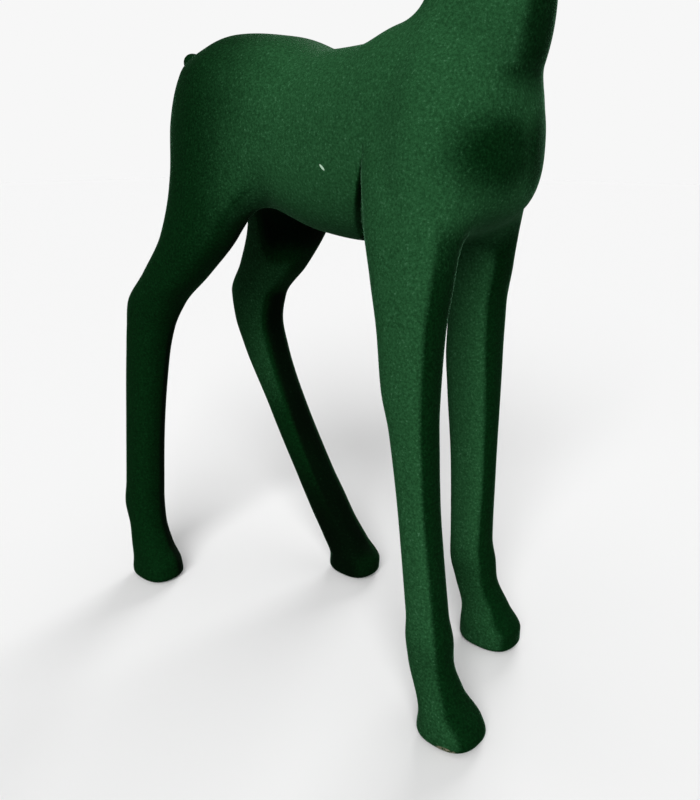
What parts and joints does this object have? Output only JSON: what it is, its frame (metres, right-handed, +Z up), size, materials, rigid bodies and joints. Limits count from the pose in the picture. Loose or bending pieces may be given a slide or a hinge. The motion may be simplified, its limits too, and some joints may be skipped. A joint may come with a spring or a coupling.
{
  "type": "deer display figure",
  "caption": "Standing doe display figure: hollow moulded shells over a steel and plywood frame, flocked dark green all over, free-standing on four padded hooves.",
  "frame": {"origin": "on the floor, under the middle of the figure's bounding box", "axes": "+X the way the doe faces, +Y its left side, +Z up"},
  "size_m": [0.6819, 0.28, 1.0858],
  "materials": {
    "flocked_resin": "glass-fibre and resin casting flocked all over in short dark green nylon",
    "eye_bead": "polished near-black bead",
    "rod_steel": "bright drawn bar",
    "tube_steel": "mill finish tube",
    "bracket_steel": "black primer",
    "zinc_screw": "zinc plated",
    "plywood": "raw birch plywood",
    "beech": "raw beech",
    "clamp_aluminium": "sawn and drilled",
    "bonding_tape": "resin-wetted glass tape",
    "pad_felt": "dense felt"
  },
  "bodies": {
    "root": {"back_seam_strip": "bonding_tape", "belly_seam_strip": "bonding_tape", "body_shell_left": "flocked_resin", "body_shell_right": "flocked_resin", "clamp_screws": "zinc_screw", "ear_left": "flocked_resin", "ear_peg_left": "beech", "ear_peg_right": "beech", "ear_right": "flocked_resin", "eye_left": "eye_bead", "eye_right": "eye_bead", "flange_screws": "zinc_screw", "foreleg_left": "flocked_resin", "foreleg_left_pad": "pad_felt", "foreleg_left_rod": "rod_steel", "foreleg_left_socket": "bracket_steel", "foreleg_right": "flocked_resin", "foreleg_right_pad": "pad_felt", "foreleg_right_rod": "rod_steel", "foreleg_right_socket": "bracket_steel", "grub_screws": "zinc_screw", "head_block": "beech", "head_shell_left": "flocked_resin", "head_shell_right": "flocked_resin", "hindleg_left": "flocked_resin", "hindleg_left_pad": "pad_felt", "hindleg_left_rod": "rod_steel", "hindleg_left_socket": "bracket_steel", "hindleg_right": "flocked_resin", "hindleg_right_pad": "pad_felt", "hindleg_right_rod": "rod_steel", "hindleg_right_socket": "bracket_steel", "hip_plate": "plywood", "neck_bulkhead": "plywood", "neck_flange": "bracket_steel", "neck_post": "tube_steel", "neck_shell_left": "flocked_resin", "neck_shell_right": "flocked_resin", "pad_screws": "zinc_screw", "shoulder_plate": "plywood", "socket_screws": "zinc_screw", "spine_clamp_front": "clamp_aluminium", "spine_clamp_rear": "clamp_aluminium", "spine_tube": "tube_steel", "tail": "flocked_resin", "tail_peg": "beech"}
  },
  "joints": []
}
